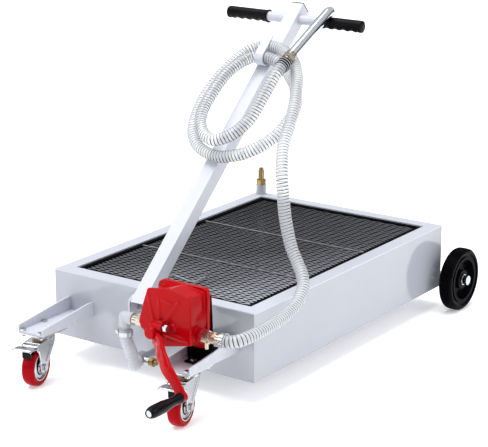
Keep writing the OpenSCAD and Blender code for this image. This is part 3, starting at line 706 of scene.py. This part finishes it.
# ---------------------------------------------------------------- rear wheels
def ribbed_tyre(tag, side):
    """Seven ribs round the tyre, each cut into sixty blocks that are staggered from rib to rib."""
    (x_lo, _, _), (x_hi, _, top_z) = mm_box("tyre_" + tag)
    outer, width, radius = max(-x_lo, x_hi), x_hi - x_lo, top_z / 2
    ribs, ribs_from, ribs_to = 7, 5.5, 33.0
    step = (ribs_to - ribs_from) / ribs
    wall = [(4.4, 64.0), (4.0, 70.0), (3.4, 72.4), (0.6, 73.2), (0.0, 74.2), (0.2, 78.0), (1.6, 82.6),
            (4.0, 85.2)]
    across = list(wall)
    for k in range(ribs):
        a = ribs_from + k * step
        top = radius - 0.072 * (k - ribs // 2) ** 2
        across += [(a + 0.7, top - 2.4), (a + 1.1, top - 0.5), (a + 1.7, top), (a + step - 0.6, top),
                   (a + step - 0.1, top - 0.5), (a + step + 0.2, top - 2.4)]
    across += [(width - t, r) for t, r in reversed(wall)]
    blocks, groove, groove_depth = 60, 0.22, 1.7     # groove is a share of a block's pitch

    def cut_blocks(a, t, r):
        if r < radius - 1.5:
            return r
        rib = int((outer - abs(t)) / step)
        turn = a * blocks / (2 * math.pi) + 0.5 * (rib % 2)
        return r - groove_depth if turn % 1 > 1 - groove else r

    _, axle_y, axle_z = JOINTS["wheel_spin_" + tag]["pos_m"]
    axes = Matrix.Translation((0, axle_y, axle_z)) @ Matrix.Scale(0.001, 4)
    profile = [((outer - width + t) * side, r) for t, r in across]
    tyre = lathe("ribbed_tyre_" + tag, profile, axes, "X", 360, cut_blocks)
    piece(tyre, "tyre", "wheel_" + tag, "tyre_rubber", "tyre_" + tag)


for tag, side in SIDES.items():
    ribbed_tyre(tag, side)


# ---------------------------------------------------------------- screen
def expanded_mesh():
    """Zigzag strands that overlap a little at their corners, like slit and stretched sheet."""
    edge = 6.5                         # how much of the frame's dark ledge shows round the mesh
    (x0, y0, z0), (x1, y1, _) = tank_box("screen_mesh")
    x0, x1, y0, y1 = x0 + edge, x1 - edge, y0 + edge, y1 - edge
    half_diamond, row_pitch = 21.0, 7.1
    half_width, half_thick, middle, tilt = 0.95, 0.4, z0 + 0.25, 0.35
    columns = int((x1 - x0) / half_diamond)
    rows = int((y1 - y0) / row_pitch)
    step_x, step_y = (x1 - x0) / columns, (y1 - y0) / rows
    swing = step_y / 2 - half_width * 0.35
    verts, faces = [], []
    for j in range(rows):
        first = len(verts)
        for i in range(columns + 1):
            up = 1 if (i + j) % 2 else -1
            x = x0 + i * step_x
            y = y0 + (j + 0.5) * step_y + up * swing
            z = middle + tilt * up
            verts += [(x, y - half_width, z - half_thick - tilt), (x, y + half_width, z - half_thick + tilt),
                      (x, y + half_width, z + half_thick + tilt), (x, y - half_width, z + half_thick - tilt)]
        strand = band_faces(columns + 1, 4) + end_faces(columns + 1, 4)
        faces += [tuple(first + v for v in face) for face in strand]
    mesh = from_points("expanded_mesh", verts, faces, False, TANK)
    piece(mesh, "mesh", "screen", "mesh_steel", "screen_mesh")


expanded_mesh()


# ---------------------------------------------------------------- hand pump
PORT_Y, PORT_Z = -145, 216             # the line through both threaded ports
SHAFT_X, _, SHAFT_Z = (v * 1000 for v in JOINTS["crank_spin"]["pos_m"])


def pump_casting():
    """Flange, chamber and square front of the body, with two threaded ports and a boss over the outlet."""
    flange = [(113, 304), (117, 315), (127, 321), (247, 321), (256, 316), (258, 306), (258, 222), (247, 173),
              (232, 170), (132, 176), (112, 190), (108, 206)]
    neck = [(136, 311), (188, 320), (249, 311), (251, 203), (184, 188), (148, 195), (126, 212), (111, 231),
            (125, 280)]
    bm = bmesh.new()
    prism_into(bm, flange, -117, -105)
    bar_into(bm, (190, -151, 246), (190, -114, 246), 61, 66, sides=64)
    prism_into(bm, neck, -173, -112)
    for x0, x1, r0, r1 in ((150, 93, 19, 16), (93, 100, 17.5, 17.5),
                           (205, 267.5, 21, 16), (258, 267.5, 18, 18)):
        bar_into(bm, (x0, PORT_Y, PORT_Z), (x1, PORT_Y, PORT_Z), r0, r1)
    bar_into(bm, (238, PORT_Y, PORT_Z), (238, PORT_Y, 240), 12, 9)
    piece(cast("pump_casting", bm, TANK, 1.5, 5), "red", "cart", "red_paint", "pump_body")


def pump_front():
    """The cover, with ribs that spread from the shaft's boss."""
    outline = [(131, 317), (188, 326), (255, 317), (257, 198), (184, 182), (145, 189), (121, 207), (104, 229),
               (119, 282)]
    front = -181
    bm = bmesh.new()
    prism_into(bm, outline, front - 1, -173, shrink=0.985)
    for dx, dz, x, z, foot, crest, high in ((-10, 12, 133, 304, 6, 1.6, 2.4), (4, 16, 166, 300, 8, 1.8, 2.4),
                                            (14, 12, 226, 302, 9, 2, 2.2), (14, -4, 247, 210, 9, 2, 2.2)):
        rib_into(bm, (SHAFT_X + dx, front, SHAFT_Z + dz), (x, front, z), foot, crest, 5.0, high)
    rib_into(bm, (172, front, 300), (206, front, 292), 5, 2, 3.4, 3.4)
    bar_into(bm, (SHAFT_X, -178, SHAFT_Z), (SHAFT_X, -190.6, SHAFT_Z), 29, 22, sides=48)
    bar_into(bm, (205, -178, 234), (205, -187, 234), 12, 8)
    piece(cast("pump_front", bm, TANK, 1.3, 3), "red", "cart", "red_paint", "pump_cover")


def crank_boss():
    """The crank's hub with its end disc, and the clamp for its bolt."""
    bm = bmesh.new()
    bar_into(bm, (SHAFT_X, -193.3, SHAFT_Z), (SHAFT_X, -214, SHAFT_Z), 15.6, sides=48)
    bar_into(bm, (SHAFT_X, -214, SHAFT_Z), (SHAFT_X, -217.8, SHAFT_Z), 14.6, 12.8, sides=48)
    bar_into(bm, (157, -200, 236), (189.8, -200, 236), 9.4, 9.0)
    box_into(bm, (157, -206, 222), (176, -194.5, 240))
    piece(cast("crank_boss", bm, TANK, 0.9, 2), "red", "crank", "red_paint", "crank_hub")


def crank_bent_arm():
    """A flat oval bar, wide at the hub and narrower at the pin, with a raised crest down its front."""
    stations = [(168, -204, 209), (178, -210, 207), (191, -219, 204), (207, -235, 198), (224, -250, 190),
                (240, -263, 183), (255, -273, 173), (268, -277.5, 163), (280, -278, 151), (292, -278, 133),
                (304, -278, 116)]
    half_widths = [16.0, 19.0, 20.5, 20.5, 20.0, 19.0, 17.4, 15.8, 14.4, 13.4, 13.4]
    half_depths = [5.0, 5.6, 5.8, 5.8, 5.8, 5.8, 5.8, 5.8, 5.8, 5.8, 5.9]
    per, sides, squareness = 5, 20, 0.55
    path = catmull(stations, per)
    last = len(path) - 1
    verts = []
    for i, p in enumerate(path):
        ahead = (path[min(last, i + 1)] - path[max(0, i - 1)]).normalized()
        front = Vector((0, -1, 0))
        front = (front - front.dot(ahead) * ahead).normalized()
        across = ahead.cross(front)
        j = min(i // per, len(stations) - 2)
        part = i / per - j
        half_width = half_widths[j] + (half_widths[j + 1] - half_widths[j]) * part
        half_depth = half_depths[j] + (half_depths[j + 1] - half_depths[j]) * part
        for k in range(sides):
            a = 2 * math.pi * k / sides
            c, s = math.cos(a), math.sin(a)
            x = half_width * math.copysign(abs(c) ** squareness, c)
            y = half_depth * math.copysign(abs(s) ** squareness, s)
            if s > 0:
                y *= 1 - 0.18 * abs(c)
            verts.append(p + across * x + front * y)
    bm = bmesh.new()
    into_bmesh(bm, verts, band_faces(len(path), sides) + end_faces(len(path), sides))
    bar_into(bm, (304, -272.2, 116), (304, -283.9, 116), 12.6, 12.0)
    piece(cast("crank_bent_arm", bm, TANK, 1.0, 2), "red", "crank", "red_paint", "crank_arm")


def turned_grip():
    """The crank's waisted grip, with a recess in its end where the pin's head shows."""
    x, _, z = (v * 1000 for v in JOINTS["grip_spin"]["pos_m"])
    profile = [(-284.5, 5.4), (-284.5, 11.2), (-286, 12.6), (-290, 13.0), (-296, 12.2), (-304, 11.2),
               (-314, 11.0), (-325, 12.0), (-338, 13.6), (-352, 14.8), (-366, 15.0), (-382, 15.0),
               (-392, 14.2), (-398, 12.6), (-402, 11.0), (-403.6, 9.6), (-404, 8.6), (-398.2, 8.5),
               (-398.2, 5.4)]
    grip = lathe("turned_grip", profile, TANK @ Matrix.Translation((x, 0, z)), "Y", 64)
    piece(grip, "plastic", "knob", "black_plastic", "crank_grip")


for make in (pump_casting, pump_front, crank_boss, crank_bent_arm, turned_grip):
    make()


# ---------------------------------------------------------------- casters
AXLE_HEIGHT, TRAIL = 50, 40            # the wheel's axle above the floor, and away from the kingpin
PEDAL_Y, PEDAL_Z = -65, 107            # the brake pedal's hinge


def caster_wheel(tag):
    """Red tread on a pressed core, with a pale ring on each face, and black rings laid in two grooves on each
    face as painted shade.
    """
    body = "caster_wheel_" + tag
    axes = caster_matrix(tag) @ Matrix.Translation((0, -TRAIL, AXLE_HEIGHT))
    tread = [(0, 50), (7.0, 49.75), (11.4, 49.0), (14.2, 47.6), (15.9, 45.0), (16.5, 41.5), (16.3, 38.0),
             (15.2, 36.4), (12, 36.05)]
    piece(lathe("red_tread_" + tag, mirrored(tread), axes), "tread", body, "red_tread", "caster_tread_" + tag)
    core = [(0, 36.0), (15.0, 36.0), (15.8, 35.4), (15.8, 33.2), (15.0, 32.6), (12.2, 32.4), (11.4, 31.6),
            (11.4, 29.8), (12.6, 29.0), (13.4, 27.5), (13.2, 20.5), (14.6, 17.0), (15.2, 15.4), (17.6, 14.6),
            (18.0, 12.0), (18.4, 8.4), (19.0, 7.8), (19.0, 5.2)]
    piece(lathe("caster_core_" + tag, mirrored(core), axes), "plate", body, "zinc", "caster_hub_" + tag)
    pale = [(15.86, 35.2), (16.1, 34.9), (16.1, 33.7), (15.86, 33.4), (15.2, 33.4), (15.2, 35.2)]
    grooves = {1: [(11.3, 31.6), (11.9, 31.4), (11.9, 30.0), (11.3, 29.8)],
               2: [(13.2, 21.2), (13.7, 20.8), (14.9, 17.4), (14.5, 16.8)]}
    for where, side in (("in", -1), ("out", 1)):
        ring = lathe("pale_ring_%s_%s" % (tag, where), [(x * side, r) for x, r in pale], axes)
        piece(ring, "pale", body, "zinc")
        # painted shade: a black ring in each groove
        for k, groove in grooves.items():
            ring = lathe("dark_ring_%s_%s_%d" % (tag, where, k), [(x * side, r) for x, r in groove], axes)
            piece(ring, "plastic", body, "black_plastic")


def caster_fork(tag):
    """A crown and two ribbed legs pressed from one sheet, with the swivel's race, its cap and the kingpin."""
    body = "swivel_" + tag
    axes = caster_matrix(tag)
    leg = [(22, 114), (20.5, 100), (14, 90), (3, 78), (-9, 62), (-20, 45), (-25, 39), (-32, 36), (-44, 36),
           (-51, 39), (-55, 45), (-56, 54), (-56, 82), (-60, 90), (-70, 99), (-72, 103), (-72, 109),
           (-69, 114)]
    bm = bmesh.new()
    for x0, x1 in ((-23, -20), (20, 23)):
        prism_into(bm, leg, x0, x1, "X")
    box_into(bm, (-22.9, -56.8, 111.9), (22.9, 21.8, 115.9))
    disc_into(bm, Matrix.Translation((0, 0, 113)), 27, 7, sides=64, top=25.5)
    bar_into(bm, (-24.4, PEDAL_Y, PEDAL_Z), (24.4, PEDAL_Y, PEDAL_Z), 3.0, sides=20)
    for x in (-22.4, 22.4):
        bar_into(bm, (x, 6, 109), (x, -30, 60), 4.0, 3.2, sides=24)
        bar_into(bm, (x, -64, 101), (x, -52, 62), 2.8, 2.2, sides=24)
    piece(cast("fork_pressing_" + tag, bm, axes, 0.9, 2), "plate", body, "zinc", "fork_" + tag)
    race = [(119.6, 14), (119.6, 24.5), (120.6, 26.2), (123.2, 27), (125.4, 26.2), (126.2, 24.4), (126.2, 14)]
    piece(lathe("swivel_race_" + tag, race, axes, "Z", 72), "race", body, "zinc")
    cap = [(126.3, 0.01), (126.3, 20), (127.0, 20.6), (127.5, 19.8), (127.5, 0.01)]
    piece(lathe("race_cap_" + tag, cap, axes, "Z", 64), "zinc", body, "zinc")
    bm = bmesh.new()
    disc_into(bm, Matrix.Translation((0, 0, 112)), 6.0, 19.4)
    piece(sharp(from_bmesh("kingpin_" + tag, bm, axes)), "steel", body, "zinc")


def brake_pedal(tag):
    """A pressed plate with turned-down lips, two grooves and a rolled tip, its hinge tube and its shoe."""
    body = "brake_" + tag
    axes = caster_matrix(tag)
    rows = [(-64, 109.6, 18.8), (-70, 110.8, 19.0), (-73.6, 111.6, 20.5), (-76, 112.4, 26.6),
            (-82, 113.2, 27.0), (-87, 114.8, 27.0), (-92, 115.6, 27.0), (-100, 116.1, 27.0),
            (-106, 116.6, 27.0), (-109.5, 116.4, 27.0), (-111.6, 115.2, 26.6), (-112.0, 113.4, 26.4)]
    cols, thick, lip, lip_from = 15, 1.8, 3.2, 0.86
    groove_at, groove_half, groove_depth = 0.45, 0.08, 0.5
    verts = []
    for drop in (0, thick):
        for y, z, half_width in rows:
            for k in range(cols):
                u = -1 + 2 * k / (cols - 1)
                down = lip * max(0.0, abs(u) - lip_from) / (1 - lip_from) if y < -74 else 0
                if abs(abs(u) - groove_at) < groove_half and -107 < y < -84:
                    down += groove_depth
                verts.append((u * half_width, y, z - down - drop))
    plate = from_points("pedal_plate_" + tag, verts, plate_faces(len(rows), cols), True, axes)
    piece(sharp(plate, 50), "plate", body, "zinc", "pedal_" + tag)
    bm = bmesh.new()
    bar_into(bm, (-19.2, PEDAL_Y, PEDAL_Z), (19.2, PEDAL_Y, PEDAL_Z), 5.8)
    piece(sharp(from_bmesh("pedal_roll_" + tag, bm, axes)), "zinc", body, "zinc")
    shoe = [(-70, 110), (-70, 95), (-76, 90), (-84, 83.2), (-87.5, 84.4), (-88, 96), (-87, 111.5)]
    bm = bmesh.new()
    prism_into(bm, shoe, -11.5, 11.5, "X")
    piece(bevel(from_bmesh("brake_shoe_" + tag, bm, axes, False), 0.8), "plastic", body, "zinc")


for make in (caster_wheel, caster_fork, brake_pedal):
    for tag in SIDES:
        make(tag)


# ---------------------------------------------------------------- handle grips
def finger_grip(tag, side):
    """A rubber sleeve with a collar, a closed end and four finger hollows on its lower side."""
    (x_lo, _, _), (x_hi, _, _) = mm_box("grip_" + tag)
    start, end = sorted((abs(x_lo - HANDLE_X), abs(x_hi - HANDLE_X)))
    barrel = 16.2
    finger, first_finger, fingers, hollow = 25.0, 12, 4.4, 2.6
    below = math.radians(228)
    profile = [(start, 13.6), (start, 17.4), (start + 1, 18.0), (start + 2.6, 18.0), (start + 4.2, 16.6)]
    x = start + 5.2
    while x < end - 5:
        profile.append((x, barrel))
        x += 1.6
    profile += [(end - 3.5, barrel), (end - 1.4, 15.4), (end, 13.0), (end, 0.01), (end - 3.6, 0.01),
                (end - 3.9, 13.6)]

    def hollows(a, t, r):
        if r != barrel:
            return r
        facing = math.cos(a - below)
        u = (abs(t) - start - first_finger) / finger
        if 0 < u < fingers:
            r -= hollow * max(0.0, facing) ** 1.5 * (0.5 - 0.5 * math.cos(2 * math.pi * u))
        return r + 0.15 * math.sin(abs(t) * 2.2) * max(0.0, -facing)

    t_bar = HANDLE @ Matrix.Translation((0, 856, -3))
    grip = lathe("finger_grip_" + tag, [(t * side, r) for t, r in profile], t_bar, "X", 64, hollows)
    piece(grip, "grip", "handle", "grip_rubber", "grip_" + tag)


for tag, side in SIDES.items():
    finger_grip(tag, side)


# ---------------------------------------------------------------- barbed tail on the corner pipe
def ridged_tail():
    """Five cones that narrow upwards on a thin rod, and a blunt tip."""
    (x0, y0, foot), (x1, y1, _) = tank_box("corner_barb")
    x, y = (x0 + x1) / 2, (y0 + y1) / 2
    barbs, spacing = 5, 6
    bm = bmesh.new()
    for k in range(barbs):
        disc_into(bm, Matrix.Translation((x, y, foot + 0.4 + spacing * k)), 9.4, 4.6, sides=40, top=7.4)
    disc_into(bm, Matrix.Translation((x, y, foot + 0.1)), 6.4, 31, sides=40)
    disc_into(bm, Matrix.Translation((x, y, foot + 29.8)), 7.5, 5.15, sides=40, top=7.3)
    piece(sharp(from_bmesh("ridged_tail", bm, TANK), 30), "brass", "cart", "brass", "corner_barb")


ridged_tail()

# ---------------------------------------------------------------- finishes of the CAD nodes
# LOOKS says which nodes take each material, and EDGES how far their edges are rounded, in millimetres.
LOOKS = {
    "tank": "tank_body",
    "arm": "arm_left arm_right handle_bracket axle_brackets",
    "handle": "tank_rim handle_tube t_bar hose_hook",
    # pump_foot is black as a real foot, and also as a dark sheet that stands in for the shade under the pump:
    # painted shade.
    "black": "screen_frame pump_foot",
    "rim": "rim_left rim_right",
    "zinc": "caster_plates caster_bolts axle_nuts pivot_bolt pump_bolts hose_clamps tank_outlet crank_bolt "
            "crank_pin caster_axle_left caster_axle_right",
    "steel": "rear_axle pump_rotor",
    "rods": "screen_rods",
    "wire": "screen_pull",
    "grip": "tube_cap",
    "pipe": "corner_pipe inlet_elbow",
    "brass": "corner_bushing drain_plug",
    "bronze": "nozzle_fitting",
    "pale_brass": "pump_inlet pump_outlet",
    "chrome": "nozzle_spout",
}
EDGES = {
    2.5: "handle_tube",
    1.2: "tank_body",
    1.0: "tank_rim",
    0.8: "arm_left arm_right handle_bracket tube_cap pump_foot",
    0.6: "hose_hook caster_plates",
    0.4: "screen_frame",
}
for look, names in LOOKS.items():
    for name in names.split():
        assign(NODES[name], look)
for width, names in EDGES.items():
    for name in names.split():
        bevel(NODES[name], width)


# ---------------------------------------------------------------- floor and light
def floor():
    """A pale plane that reaches close to the horizon of a low view. Its size is in metres."""
    half = 40
    mat, _, shader = material("floor_white", (0.97, 0.97, 0.97), 0.6)
    shader.inputs["Emission Color"].default_value = (1, 1, 1, 1)
    shader.inputs["Emission Strength"].default_value = 0.3
    me = bpy.data.meshes.new("floor")
    corners = [(-half, -half, 0), (half, -half, 0), (half, half, 0), (-half, half, 0)]
    me.from_pydata(corners, [], [(0, 1, 2, 3)])
    me.materials.append(mat)
    link("floor", me)


def studio():
    """A pale dome that darkens towards its horizon, so that upright faces keep their tone."""
    world = bpy.data.worlds.new("studio")
    bpy.context.scene.world = world
    world.use_nodes = True
    tree = world.node_tree
    _, _, height = separate(tree, tree.nodes.new("ShaderNodeTexCoord").outputs["Generated"])
    horizon, low, dome = (0.16, 0.165, 0.18), (0.22, 0.23, 0.25), (0.95, 0.97, 1.0)
    sky = ramp(tree, height, [(0.0, horizon), (0.22, low), (0.5, dome), (1.0, dome)])
    background = tree.nodes["Background"]
    background.inputs["Strength"].default_value = 0.80
    tree.links.new(sky, background.inputs["Color"])


def softbox(name, place, size, power):
    """A rectangular light that faces the middle of the cart."""
    aim = Vector((0, 0, 0.3))
    data = bpy.data.lights.new(name, "AREA")
    data.shape = "RECTANGLE"
    data.size, data.size_y = size
    data.energy = power
    ob = link(name, data)
    ob.location = place
    ob.rotation_euler = (aim - Vector(place)).to_track_quat("-Z", "Y").to_euler()


def high_key():
    """Broad soft light from nearly overhead."""
    data = bpy.data.lights.new("high_key", "SUN")
    data.energy = 2.6
    data.angle = math.radians(50)
    link("high_key", data).rotation_euler = (math.radians(8), math.radians(-10), 0)


floor()
studio()
high_key()
softbox("right_box", (3.2, 0.6, 2.0), (2.0, 2.0), 30)
softbox("front_box", (-1.6, -3.4, 1.8), (2.4, 1.6), 24)
